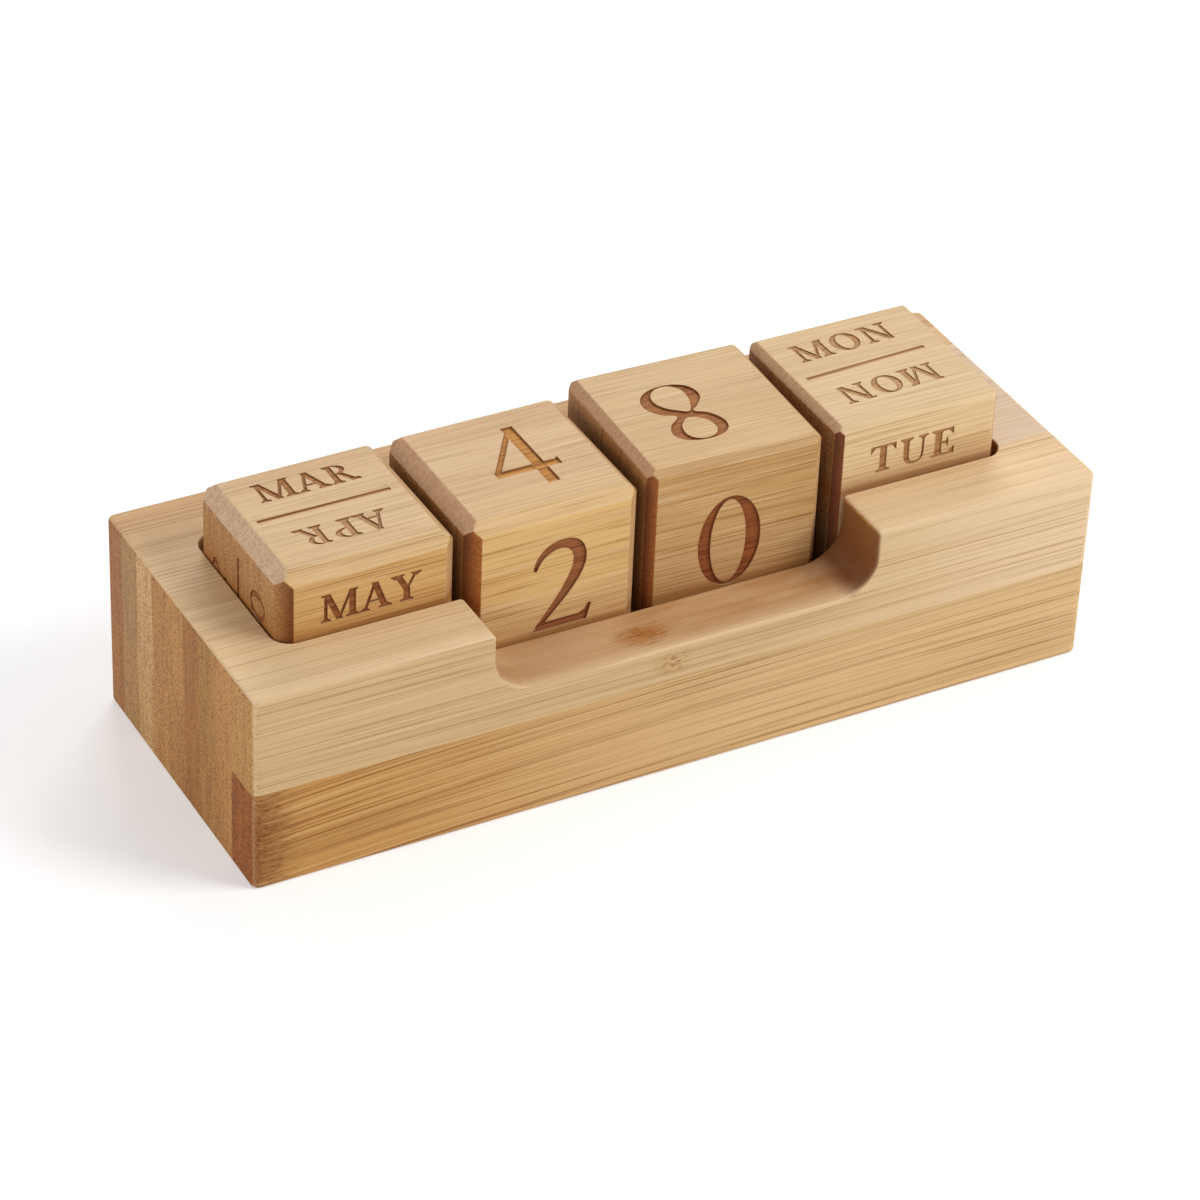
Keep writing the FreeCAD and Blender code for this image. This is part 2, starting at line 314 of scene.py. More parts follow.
def bamboo_colour(finish, spot, seed, tones, long=1.0, bold=1.0):
    """Colour and grain of a strip. Tones are the broad face's, the narrow edge's and the cut end's colours, each a
    pair of ground and streak. Bold scales how strongly the streaks show."""
    layers = grain(finish, spot, seed, long)
    depth = layers["streak"] * (0.30 * bold) + (layers["band"] - 0.5) * (0.9 * bold) + layers["dark"] * (0.70 * bold)
    depth = depth + (layers["fine"] - 0.5) * (1.5 * bold) + (layers["fibre"] - 0.5) * 0.6
    broad_face = finish.facing(1)
    ground = finish.tint(tones["edge"][0], tones["broad"][0], broad_face)
    line = finish.tint(tones["edge"][1], tones["broad"][1], broad_face)
    long_side = finish.tint(ground, line, finish.step(depth, -0.25, 1.25))
    long_side = finish.tint(long_side, tones["pale"], layers["pale"] * 0.4)
    cut = finish.tint(tones["end"][0], tones["end"][1], finish.step(specks(finish, spot, seed, 0.62), -0.6, 1.3))
    return finish.tint(long_side, cut, finish.facing(0)), layers


print("bamboo is ready")

# %% [markdown]
# ## The block's staves
#
# The block is glued up from nine plies, each of a lower and an upper stave, and no two strips of bamboo have quite
# the same brown. Each stave therefore gets a finish of its own: the same solid pattern with another seed and other
# tones, read off the photograph from the front ply to the back one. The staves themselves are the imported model's
# own, so the finish is only put into their material slots.

# %% Tones of the staves, from the front ply to the back one
# Each row holds ground and streak of the broad face, of the narrow edge and of the cut end. The lower staves behind
# the front one have one pair for both long sides.
PALE, HONEY = paint(226, 197, 155), paint(222, 184, 128)
UPPER_TONES = [
    ((213, 181, 135), (174, 134, 84), (228, 198, 158), (194, 160, 118), (196, 147, 82), (136, 89, 38)),
    ((213, 179, 136), (174, 134, 88), (228, 197, 155), (188, 151, 106), (198, 143, 81), (137, 88, 38)),
    ((211, 176, 132), (172, 132, 86), (227, 193, 151), (186, 148, 102), (178, 131, 65), (123, 80, 30)),
    ((213, 179, 136), (174, 134, 88), (229, 197, 155), (190, 153, 108), (175, 118, 56), (120, 72, 26)),
    ((208, 172, 128), (170, 130, 84), (223, 190, 147), (186, 148, 107), (197, 144, 78), (135, 87, 36)),
    ((215, 182, 140), (178, 140, 94), (230, 199, 158), (192, 155, 111), (193, 139, 75), (132, 84, 36)),
    ((212, 178, 136), (176, 138, 92), (227, 194, 153), (190, 152, 107), (215, 174, 118), (154, 107, 60)),
    ((207, 170, 126), (168, 128, 82), (217, 179, 134), (180, 138, 92), (181, 140, 87), (129, 89, 47)),
    ((195, 155, 111), (156, 114, 70), (205, 164, 119), (169, 127, 83), (173, 114, 62), (122, 71, 34)),
]
INNER_SIDES = ((199, 162, 114), (168, 126, 80)) * 2
LOWER_TONES = [
    ((201, 151, 86), (141, 90, 38), (197, 155, 102), (154, 107, 60), (168, 94, 20), (82, 40, 5)),
    (*INNER_SIDES, (192, 137, 74), (130, 82, 34)),
    (*INNER_SIDES, (184, 133, 68), (124, 79, 30)),
    (*INNER_SIDES, (176, 120, 58), (118, 70, 26)),
    (*INNER_SIDES, (190, 136, 72), (126, 80, 34)),
    (*INNER_SIDES, (198, 144, 80), (135, 86, 38)),
    (*INNER_SIDES, (209, 165, 108), (148, 101, 54)),
    (*((186, 146, 100), (152, 110, 68)) * 2, (188, 144, 88), (134, 90, 46)),
    (*((182, 141, 94), (150, 108, 66)) * 2, (178, 120, 62), (124, 74, 32)),
]
# Painted light and sheen, paler to the right: from which x to which, and the ground and streak its broad face ends
# with.
PAINTED_LIGHT_TONES = {
    "base_stave_1_lower": (-85.0, 25.0, ((220, 185, 135), (171, 129, 78))),
    "base_stave_1_upper": (15.0, 95.0, ((232, 203, 165), (188, 150, 103))),
}
# Painted sheen: the tops of the stubs right of the pocket are written paler and bluer.
STUB_EDGE_SHEEN = ((221, 196, 168), (186, 154, 121))


def tones_of(ply, upper, stub):
    """The tones of one stave, as linear colours. The stubs to the right of the pocket have a paler edge, a painted
    sheen.
    """
    c = [paint(*tone) for tone in (UPPER_TONES if upper else LOWER_TONES)[ply - 1]]
    edge = tuple(paint(*tone) for tone in STUB_EDGE_SHEEN) if stub else (c[2], c[3])
    return {"broad": (c[0], c[1]), "edge": edge, "end": (c[4], c[5]), "pale": PALE if upper else HONEY}


print("plies with tones of their own", len(UPPER_TONES))


# %% One finish for each stave
CLIMB, CLIMB_REACH, LEFT_END = 0.09, 55.0, -100.0


def stave_finish(name, seed, tones, bold=1.0, knots=()):
    """Bamboo for one stave.

    The front lower stave ends in a node on the left. There its streaks climb to the right by 0.09, which dies away
    over 55 mm: rise = 0.09 * 55 * (1 - exp(-(x + 100) / 55))."""
    finish = Finish(bpy.data.materials.new("bamboo_" + name))
    spot = finish.place()
    rise = 0.0
    if name == "base_stave_1_lower":
        gone = (finish.along(spot, 0) - LEFT_END) * (-1.0 / CLIMB_REACH)
        rise = (1.0 - gone.maths("EXPONENT", gone, 0.0)) * (CLIMB * CLIMB_REACH)
    # Painted light and sheen: the broad face pales towards the right.
    if name in PAINTED_LIGHT_TONES:
        start, end, pair = PAINTED_LIGHT_TONES[name]
        far = finish.step(finish.along(spot, 0), start, end)
        tones["broad"] = [finish.tint(near, paint(*away), far) for near, away in zip(tones["broad"], pair)]
    bent = wander(finish, spot, seed, 0.4, rise)
    colour, layers = bamboo_colour(finish, bent, seed, tones, bold=bold)
    # Painted highlight on the rounded edges.
    colour = edge_highlight(finish, colour, 0.16)
    if name in ("base_stave_1_upper", "base_stave_2_upper"):
        # Painted shade in the finger scoop, with a little cutter browning.
        colour = scoop_shade_and_burn(finish, spot, colour)
    for k in knots:
        colour = knot(finish, spot, colour, *k)
    roughness = 0.54 + (layers["fibre"] - 0.5) * 0.18 + layers["streak"] * 0.05
    return coat(finish, colour, roughness, layers["fibre"] * 0.6 + layers["fine"] * 0.4, 0.04)


BOLD = {"base_stave_1_lower": 1.05, "base_stave_1_upper": 0.82}
# Each node's centre and reach in mm, its tone, the tone of its flecks, its seed and, if not 0.85, its weight.
KNOTS = {
    "base_stave_1_lower": [((-103.0, -37.0, 12.0), (15.0, 60.0, 26.0), paint(140, 80, 34), paint(92, 48, 20), 2.3)],
    "base_stave_1_upper": [
        ((-7.4, -30.5, 33.5), (8.0, 5.0, 3.6), paint(174, 110, 46), paint(128, 74, 28), 5.1),
        ((-3.5, -37.3, 28.5), (5.5, 2.0, 3.4), paint(196, 152, 98), paint(140, 96, 48), 7.7, 0.35),
    ],
}
for order, (name, stave) in enumerate(sorted((n, o) for n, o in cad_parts.items() if n.startswith("base_"))):
    ply, upper = int(name.split("_")[2]), not name.endswith("lower")
    finish = stave_finish(name, 0.37 + 1.91 * order, tones_of(ply, upper, name.endswith("right")),
                          bold=BOLD.get(name, 1.0), knots=KNOTS.get(name, ()))
    stave.data.materials.clear()
    stave.data.materials.append(finish)
print("staves finished", sum(n.startswith("base_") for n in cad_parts))

# %% [markdown]
# ## Marks of the calendar
#
# The cubes carry what every perpetual calendar carries: the numbers 0 to 8, and three-letter months and weekdays.
# They are drawn here from scratch in a plain roman style. A roman letter is a few simple pieces, thick and thin
# stems, bowls, and feet, so each piece is one outline, and a letter is a list of pieces laid over each other in
# order. A piece marked as a hole takes away what lies under it. Letters are one unit tall here.

# %% Pieces of letters
THICK, THIN, SLAB = 0.235, 0.12, 0.08


def shape(*corners):
    """An outline that adds, with straight sides from corner to corner."""
    return 1, np.array(corners, float)


def bar(x0, x1, y0, y1):
    """An upright rectangle."""
    return shape((x0, y0), (x1, y0), (x1, y1), (x0, y1))


def stem(x, wide=THICK, y0=0.0, y1=1.0):
    """A vertical stroke around x."""
    return bar(x - wide / 2, x + wide / 2, y0, y1)


def lean(x0, x1, wide, y0=0.0, y1=1.0):
    """A slanting stroke from x0 at y0 to x1 at y1, cut off level at both ends."""
    h = wide / 2
    return shape((x0 - h, y0), (x0 + h, y0), (x1 + h, y1), (x1 - h, y1))


def spur(x0, y0, x1, y1):
    """The small triangle that ends an arm."""
    return shape((x0, y0), (x1, y0), (x1, y1))


def foot(x, y, wide=THICK, way=1.0, out=0.12):
    """A foot with hollow shoulders at y, below a stem (way 1) or above it (way -1)."""
    h, w = wide / 2, wide / 2 + out
    points = [(-w, 0), (w, 0), (w, SLAB * 0.8), (h + 0.03, SLAB * 1.3), (h, 0.15), (-h, 0.15), (-h - 0.03, SLAB * 1.3),
              (-w, SLAB * 0.8)]
    return 1, np.array(points, float) * (1.0, way) + (x, y)


def head(x, wide=THICK):
    """The same foot turned over, above a stem that reaches the top."""
    return foot(x, 1, wide, way=-1.0)


def post(x=0.22):
    """A stem with a foot at both ends."""
    return [stem(x), foot(x, 0), head(x)]


def oval(cx, cy, rx, ry, count=48):
    """An ellipse: centre plus radius times cosine and sine of an even run of angles."""
    t = np.linspace(0.0, 2.0 * np.pi, count, endpoint=False)
    return 1, np.stack([cx + rx * np.cos(t), cy + ry * np.sin(t)], 1)


def bowl(x, cy, rx, ry, count=26):
    """The right half of an ellipse, closed by a straight back at x."""
    t = np.linspace(-0.5 * np.pi, 0.5 * np.pi, count)
    return 1, np.stack([x + rx * np.cos(t), cy + ry * np.sin(t)], 1)


def hole(piece):
    """The same outline, taking away instead of adding."""
    return 0, piece[1]


print("a foot has", len(foot(0, 0)[1]), "corners and an oval", len(oval(0, 0, 1, 1)[1]))


# %% A pen whose width changes
def smooth(p, fine=7):
    """A Catmull-Rom curve through all rows but the first and the last, as rows.

    Between two rows b and c, with a before and d after them, it is the cubic that leaves b along c - a and reaches c
    along d - b. The last point itself is left out."""
    t = np.linspace(0.0, 1.0, fine, endpoint=False)[None, :, None]
    a, b, c, d = (p[i:len(p) - 3 + i][:, None, :] for i in range(4))
    run = 0.5 * (2 * b + (c - a) * t + (2 * a - 5 * b + 4 * c - d) * t ** 2 + (3 * b - a - 3 * c + d) * t ** 3)
    return run.reshape(-1, p.shape[1])


def loop(*points):
    """A smooth closed outline through the points."""
    p = np.array(points, float)
    return 1, smooth(np.vstack([p[-1:], p, p[:2]]), 5)


def sweep(points, widths):
    """A stroke along a smooth curve through the points, as wide as widths says there.

    The outline is the curve plus and minus half the width along its normal."""
    p = np.column_stack([np.array(points, float), np.array(widths, float)])
    p = np.vstack([2 * p[0] - p[1], p, 2 * p[-1] - p[-2]])
    run = np.vstack([smooth(p), p[-2]])
    along = np.gradient(run[:, :2], axis=0)
    along /= np.linalg.norm(along, axis=1, keepdims=True)
    side = np.stack([-along[:, 1], along[:, 0]], 1) * run[:, 2:3] / 2
    return 1, np.vstack([run[:, :2] + side, (run[:, :2] - side)[::-1]])


print("a stroke through 3 points has", len(sweep([(0, 0), (1, 1), (2, 0)], [1, 1, 1])[1]), "corners")

# %% Capitals
A, B, S = THICK, THIN, SLAB
ROUND = [oval(0.50, 0.5, 0.46, 0.52), hole(oval(0.57, 0.5, 0.33, 0.455))]
LETTERS = {
    "A": (0.98, [lean(0.11, 0.47, B), lean(0.84, 0.46, A), bar(0.24, 0.70, 0.29, 0.37), foot(0.11, 0, B),
                 foot(0.84, 0)]),
    "B": (0.88, [*post(), bowl(0.30, 0.755, 0.40, 0.245), hole(bowl(0.32, 0.755, 0.19, 0.185)),
                 bowl(0.30, 0.26, 0.50, 0.26), hole(bowl(0.32, 0.265, 0.27, 0.20))]),
    "C": (0.98, [*ROUND, hole(bar(0.74, 0.97, 0.30, 0.66)), bar(0.83, 0.89, 0.66, 0.98)]),
    "D": (1.02, [*post(), bowl(0.30, 0.5, 0.64, 0.5), hole(bowl(0.32, 0.5, 0.40, 0.435))]),
    "E": (0.86, [*post(), bar(0.22, 0.74, 1 - S, 1.0), bar(0.22, 0.56, 0.46, 0.54), bar(0.22, 0.78, 0.0, S),
                 spur(0.56, 1 - S, 0.74, 0.74), spur(0.46, 0.54, 0.56, 0.68), spur(0.46, 0.46, 0.56, 0.32),
                 spur(0.56, S, 0.78, 0.29)]),
    "F": (0.80, [*post(), bar(0.22, 0.74, 1 - S, 1.0), bar(0.22, 0.56, 0.46, 0.54),
                 spur(0.56, 1 - S, 0.74, 0.74), spur(0.46, 0.54, 0.56, 0.68), spur(0.46, 0.46, 0.56, 0.32)]),
    "G": (1.06, [*ROUND, hole(bar(0.74, 0.97, 0.40, 0.66)), bar(0.83, 0.89, 0.66, 0.98),
                 bar(0.72, 0.92, 0.05, 0.40), bar(0.60, 1.02, 0.36, 0.42)]),
    "H": (1.04, [stem(0.22), stem(0.82), bar(0.22, 0.82, 0.455, 0.545), foot(0.22, 0), head(0.22), foot(0.82, 0),
                 head(0.82)]),
    "I": (0.46, post(0.23)),
    "J": (0.64, [stem(0.40, y0=0.30), head(0.40),
                 sweep([(0.40, 0.34), (0.38, 0.14), (0.27, 0.01), (0.12, 0.0), (0.07, 0.10)],
                       [0.2, 0.17, 0.09, 0.08, 0.13])]),
    "L": (0.84, [*post(), bar(0.22, 0.80, 0.0, S), spur(0.56, S, 0.80, 0.30)]),
    "M": (1.28, [stem(0.16, B), stem(1.10), lean(0.66, 0.20, A), lean(0.62, 1.05, B), foot(0.16, 0, B),
                 foot(1.10, 0), bar(0.0, 0.26, 1 - S, 1.0), bar(1.0, 1.28, 1 - S, 1.0)]),
    "N": (1.04, [stem(0.18, B), stem(0.86, B), lean(0.84, 0.20, A), foot(0.18, 0, B), bar(0.0, 0.28, 1 - S, 1.0),
                 head(0.86, B)]),
    "O": (1.04, [oval(0.52, 0.5, 0.48, 0.52), hole(oval(0.52, 0.5, 0.25, 0.44))]),
    "P": (0.86, [*post(), bowl(0.30, 0.73, 0.46, 0.27), hole(bowl(0.32, 0.735, 0.24, 0.205))]),
    "R": (1.00, [*post(), lean(0.86, 0.46, A, 0.0, 0.52), bowl(0.30, 0.74, 0.46, 0.26),
                 hole(bowl(0.32, 0.745, 0.24, 0.20)), foot(0.88, 0, A, out=0.08)]),
    "S": (0.80, [sweep([(0.62, 0.76), (0.54, 0.92), (0.35, 0.965), (0.17, 0.86), (0.17, 0.70), (0.34, 0.55),
                        (0.53, 0.42), (0.62, 0.26), (0.54, 0.09), (0.33, 0.035), (0.15, 0.12), (0.09, 0.28)],
                       [0.05, 0.06, 0.08, 0.14, 0.17, 0.20, 0.20, 0.17, 0.13, 0.08, 0.06, 0.05]),
                 bar(0.61, 0.66, 0.70, 0.99), bar(0.06, 0.11, 0.01, 0.32)]),
    "T": (0.96, [stem(0.48), foot(0.48, 0), bar(0.04, 0.92, 1 - S, 1.0), spur(0.20, 1 - S, 0.04, 0.72),
                 spur(0.76, 1 - S, 0.92, 0.72)]),
    "U": (1.04, [sweep([(0.22, 0.98), (0.22, 0.5), (0.24, 0.24), (0.35, 0.08), (0.54, 0.03), (0.74, 0.10),
                        (0.82, 0.27), (0.83, 0.6), (0.83, 0.98)],
                       [0.2, 0.2, 0.19, 0.13, 0.09, 0.08, 0.08, 0.08, 0.08]),
                 head(0.22), head(0.83, B)]),
    "V": (1.00, [lean(0.50, 0.17, A), lean(0.50, 0.85, B), head(0.17), head(0.85, B)]),
    "W": (1.44, [lean(0.44, 0.15, A), lean(0.44, 0.74, B), lean(0.98, 0.68, A), lean(0.98, 1.28, B),
                 head(0.15), head(1.28, B)]),
    "Y": (0.96, [lean(0.50, 0.15, A, 0.42, 1.0), lean(0.49, 0.82, B, 0.42, 1.0), stem(0.49, y1=0.46), foot(0.49, 0),
                 head(0.15), head(0.82, B)]),
}
WIDER = {"A": 0.95, "E": 1.08, "M": 0.95, "O": 1.05, "R": 0.88, "T": 1.06, "Y": 0.94}
print("capitals", "".join(LETTERS))

# %% [markdown]
# The numbers are large, 22 mm tall on a 40 mm face, so their curves are seen closely. Each is a pen stroke whose
# width swells to 3 mm on the sides and thins to under 1 mm at the top and bottom. They are written in millimetres
# around the middle of the number.

# %% Numbers
DIGITS = {
    "0": [oval(0, 0, 7.45, 11.3, 72), hole(oval(-0.3, 0, 4.2, 10.5, 72))],
    "1": [bar(-1.5, 1.5, -11.1, 11.1), bar(-5.0, 5.0, -11.1, -10.3),
          shape((-5.2, 7.4), (1.5, 11.1), (-1.5, 8.9), (-4.8, 6.9))],
    "2": [sweep([(-6.7, 4.5), (-5.5, 7.3), (-3.1, 9.3), (-0.1, 9.9), (2.7, 8.8), (3.9, 5.9), (3.3, 2.5), (1.1, -1.5),
                 (-1.8, -5.3), (-4.3, -8.3), (-5.9, -10.2)],
                [0.9, 1.5, 2.0, 2.3, 2.9, 3.1, 3.0, 2.5, 1.8, 1.4, 1.2]),
          shape((-7.1, -10.9), (5.9, -10.9), (7.0, -6.9), (6.2, -6.7), (5.3, -8.2), (4.0, -8.9), (-4.9, -8.9))],
    "3": [sweep([(-5.6, 6.4), (-4.3, 9.1), (-1.0, 10.4), (2.4, 9.3), (3.5, 6.6), (2.1, 3.6), (-1.4, 1.6)],
                [0.9, 1.3, 1.6, 2.4, 2.9, 2.0, 0.7]),
          sweep([(-1.4, 1.6), (2.0, 1.1), (4.5, -1.8), (4.5, -5.8), (2.2, -9.3), (-2.0, -10.5), (-5.4, -9.4)],
                [0.7, 1.7, 2.8, 3.0, 2.3, 1.2, 1.7])],
    "4": [bar(1.5, 4.25, -11.2, 11.3), bar(-7.4, 7.5, -5.6, -3.5), bar(7.1, 7.6, -5.7, -3.1),
          shape((-7.4, -4.9), (-5.7, -3.7), (1.7, 7.3), (4.25, 11.3), (2.8, 11.2), (-7.5, -4.0))],
    "5": [shape((-3.8, 11.1), (4.9, 11.1), (4.0, 8.3), (-3.2, 8.3), (-4.6, 3.0), (-5.4, 3.2)),
          sweep([(-4.9, 3.0), (-1.0, 3.6), (2.9, 1.4), (4.6, -3.0), (3.2, -7.5), (-0.8, -10.2), (-5.4, -10.3)],
                [1.3, 2.2, 2.9, 3.1, 2.5, 1.5, 1.3])],
    "6": [oval(0.4, -4.3, 6.5, 6.9, 60), sweep([(5.0, 10.7), (0.9, 8.8), (-3.2, 4.6), (-4.9, -1.0), (-4.6, -4.6)],
                                             [0.6, 1.4, 2.4, 2.9, 2.9]), hole(oval(0.6, -4.3, 3.5, 6.2, 60))],
    "7": [shape((-6.4, 11.1), (6.6, 11.1), (6.6, 10.2), (-0.4, -11.1), (-2.9, -11.1), (3.6, 8.5), (-4.4, 8.5),
                (-6.3, 6.6), (-7.0, 6.8))],
    "8": [loop((0.2, 11.2), (3.0, 10.7), (5.4, 9.1), (6.5, 6.5), (6.0, 3.9), (4.1, 1.5), (2.4, -0.2), (4.8, -1.9),
               (6.4, -4.3), (6.9, -6.7), (6.2, -9.0), (4.2, -10.6), (0.9, -11.2), (-2.5, -10.7), (-5.0, -9.2),
               (-5.9, -6.7), (-4.7, -3.8), (-2.0, -1.1), (-4.8, 0.7), (-6.7, 3.3), (-7.0, 6.1), (-5.7, 8.8),
               (-3.1, 10.6)),
          hole(loop((0.1, 10.7), (2.1, 10.1), (3.5, 8.1), (3.7, 5.5), (3.1, 2.9), (1.5, 0.0), (-0.9, 1.2), (-3.0, 3.1),
                    (-4.1, 5.7), (-3.7, 8.3), (-2.1, 10.1))),
          hole(loop((-0.2, -2.2), (1.9, -2.9), (3.6, -4.7), (4.1, -7.1), (3.6, -9.1), (2.3, -10.3), (0.3, -10.7),
                    (-1.7, -10.1), (-2.9, -8.5), (-3.1, -6.5), (-2.3, -4.2)))],
}
print("numbers", "".join(DIGITS))

# %% [markdown]
# ## Words and faces
#
# A face of a date cube holds one number. A face of the month or weekday cube holds two words with a bar between
# them, the second one upside down, so that turning the cube round shows the other. A layout is a list of pieces in
# millimetres around the middle of the face, in the order in which they are laid.

# %% Lay words and numbers out on a face
CAP_HEIGHT, WORD_ROW, LETTER_GAP = 6.75, 9.35, 0.13
BAR_LONG, BAR_THICK = 30.2, 1.0


def placed(pieces, dx, dy, degrees=0.0):
    """The pieces turned about the middle of the face, x cos - y sin and x sin + y cos, and then moved."""
    c, s = math.cos(math.radians(degrees)), math.sin(math.radians(degrees))
    return [(sign, points @ np.array([(c, s), (-s, c)]) + (dx, dy)) for sign, points in pieces]


def word(text, slip):
    """A word in capitals above the middle of the face, moved to the right by slip."""
    pieces, x = [], 0.0
    for letter in text:
        advance, outlines = LETTERS[letter]
        wide = WIDER.get(letter, 1.0)
        pieces += [(sign, points * (wide, 1.0) + (x, 0.0)) for sign, points in outlines]
        x += advance * wide + LETTER_GAP
    middle = ((x - LETTER_GAP) / 2, 0.5)
    return [(sign, (points - middle) * CAP_HEIGHT + (slip, WORD_ROW)) for sign, points in pieces]


def two_words(first, second, slips=(0.0, 0.0, 0.0)):
    """The first word above a bar, the second one upside down below it. Slips move the words and the bar in line."""
    low, high = slips[2] - BAR_LONG / 2, slips[2] + BAR_LONG / 2
    divider = [bar(low, high, -BAR_THICK / 2, BAR_THICK / 2)]
    return word(first, slips[0]) + placed(word(second, slips[1]), 0.0, 0.0, 180.0) + divider


FACES = {
    "month": {"top": placed(two_words("MAR", "APR"), -0.45, 0.65, -0.4),
              "front": placed(two_words("MAY", "JUN"), 0.1, 0.95), "right": two_words("JUL", "AUG"),
              "left": placed(two_words("SEP", "OCT", (-2.3, 0.45, -1.7)), 0, 0, 90), "back": two_words("JAN", "FEB"),
              "bottom": two_words("NOV", "DEC")},
    "tens": {"top": placed(DIGITS["4"], 1.25, 0.1), "front": placed(DIGITS["2"], 1.85, 0.95), "right": DIGITS["3"],
             "left": DIGITS["1"], "back": DIGITS["0"], "bottom": DIGITS["5"]},
    "units": {"top": placed(DIGITS["8"], -3.5, -1.5), "front": placed(DIGITS["0"], -1.15, -0.8), "right": DIGITS["7"],
              "left": DIGITS["6"], "back": DIGITS["1"], "bottom": DIGITS["2"]},
    "weekday": {"top": placed(two_words("MON", "MON"), -1.15, 1.2, 2.4),
                "front": placed(two_words("TUE", "TUE"), -1.1, 1), "right": two_words("WED", "WED"),
                "left": two_words("THU", "THU"), "back": two_words("FRI", "FRI"), "bottom": two_words("SAT", "SUN")},
}
print("pieces on the month cube's top", len(FACES["month"]["top"]))

# %% [markdown]
# ## Cutting the marks
#
# The marks are burnt into the bamboo, the numbers by about half a millimetre and the words by less: a flat brown
# floor with upright walls and a dark, scorched rim. A displacement map would need millions of points for walls that
# steep. Instead the flat face is cut into triangles along every outline, those inside a mark are pushed down, and
# walls join the two levels. A planar triangulation does the cutting. It also says which outlines cover each
# triangle, and the last one laid wins.
#
# A second round adds loose points beside the outlines, so that the scorch can fade over a third of a millimetre.

# %% Which triangles lie inside a mark
def anticlockwise(points):
    """The outline, turned round if its area, half the sum of x times next y minus next x times y, is negative."""
    after = np.roll(points, -1, axis=0)
    area = (points[:, 0] * after[:, 1] - after[:, 0] * points[:, 1]).sum() / 2
    return points if area > 0 else points[::-1]


def cut_flat(pieces, half, loose):
    """Triangles of a square face, with every outline an edge: points, triangles, and which of them are sunk."""
    square = np.array([(-half, -half), (half, -half), (half, half), (-half, half)], float)
    outlines = [anticlockwise(points) for sign, points in pieces] + [square]
    starts = np.cumsum([0] + [len(o) for o in outlines])
    rings = [list(range(a, b)) for a, b in zip(starts[:-1], starts[1:])]
    everything = np.vstack(outlines + [loose])
    out = delaunay_2d_cdt([Vector(p) for p in everything.tolist()], [], rings, 0, 1e-5, True)
    points = np.array([tuple(p) for p in out[0]])
    triangles = np.array(out[2])
    count = np.array([len(owners) for owners in out[5]])
    owner = np.array([o for owners in out[5] for o in owners])
    row = np.repeat(np.arange(len(triangles)), count)
    signs = np.array([sign for sign, outline in pieces] + [0])
    last = np.full(len(triangles), -1)
    piece = owner < len(pieces)
    np.maximum.at(last, row[piece], owner[piece])
    return points, triangles, signs[last] == 1


def rim_of(triangles, sunk):
    """Edges with a sunk triangle on their right and a raised one on their left, as pairs of points."""
    edges = triangles[:, [[0, 1], [1, 2], [2, 0]]].reshape(-1, 2)
    low = np.repeat(sunk, 3)
    key = edges.min(1) * (triangles.max() + 1) + edges.max(1)
    raised = edges[~low]
    return raised[np.isin(key[~low], key[low])]


def away_from(points, a, b):
    """Distance in mm from each point to the nearest of the segments a to b."""
    run = b - a
    t = ((points[:, None] - a) * run).sum(2) / np.maximum((run ** 2).sum(1), 1e-12)
    near = a + np.clip(t, 0.0, 1.0)[..., None] * run
    return np.sqrt(((points[:, None] - near) ** 2).sum(2)).min(1)


# %% One engraved face
SCORCH = 0.28


def loose_points(a, b, half):
    """Points a scorch width either side of the rim, and a coarse grid elsewhere."""
    run = b - a
    long = np.sqrt((run ** 2).sum(1))
    share = np.linspace(0.1, 0.9, 5)[None, :, None]
    on = a[:, None] + run[:, None] * share
    side = np.stack([-run[:, 1], run[:, 0]], 1) / np.maximum(long, 1e-9)[:, None]
    beside = np.concatenate([on + side[:, None] * SCORCH, on - side[:, None] * SCORCH]).reshape(-1, 2)
    beside = beside[away_from(beside, a, b) > 0.9 * SCORCH]
    cell = np.unique(np.round(beside / 0.42).astype(int), axis=0, return_index=True)[1]
    t = np.arange(-half + 1.3, half - 1.0, 1.6)
    grid = np.stack(np.meshgrid(t, t), 2).reshape(-1, 2)
    grid = grid[away_from(grid, a, b) > 1.0]
    inside = beside[cell]
    inside = inside[np.abs(inside).max(1) < half - 0.4]
    return np.vstack([inside, grid])


def engraved_face(pieces, half, deep):
    """Points (u, v, height), faces and the two marks on each point: sunk, 1 on the floor, and scorched, 1 at a rim."""
    flat, triangles, sunk = cut_flat(pieces, half, np.zeros((0, 2)))
    rim = rim_of(triangles, sunk)
    extra = loose_points(flat[rim[:, 0]], flat[rim[:, 1]], half)
    flat, triangles, sunk = cut_flat(pieces, half, extra)
    rim = rim_of(triangles, sunk)
    burn = np.clip(1.0 - away_from(flat, flat[rim[:, 0]], flat[rim[:, 1]]) / SCORCH, 0.0, 1.0)
    count = len(flat)
    points = np.vstack([np.column_stack([flat, np.zeros(count)]), np.column_stack([flat, np.full(count, -deep)])])
    faces = np.where(sunk[:, None], triangles + count, triangles)
    walls = np.stack([rim[:, 1], rim[:, 0], rim[:, 0] + count, rim[:, 1] + count], 1)
    marks = np.stack([np.repeat([0.0, 1.0], count), np.tile(burn, 2)], 1)
    return points, faces, walls, marks


trial = engraved_face(FACES["month"]["top"], half=17.0, deep=0.3)
print("month top:", len(trial[1]), "triangles,", len(trial[2]), "wall pieces")

# %% [markdown]
# ## The body of a cube
#
# Each cube has a 45 degree chamfer on all twelve edges, sanded soft. The chamfers were planed by hand, so they are
# about 3 mm wide on the first two cubes and under 2 mm on the others, and the units cube is a little larger. Six flat
# faces and twelve chamfers make a body of 18 planes. Rolling a ball of the sanding radius round the inside of that
# body gives the soft edges: every plane stays where it is, every edge between two planes becomes a strip of a
# cylinder, and every corner of three planes becomes a piece of a sphere. A point on any of them is the inner
# corner plus the radius times a direction between the planes' normals.

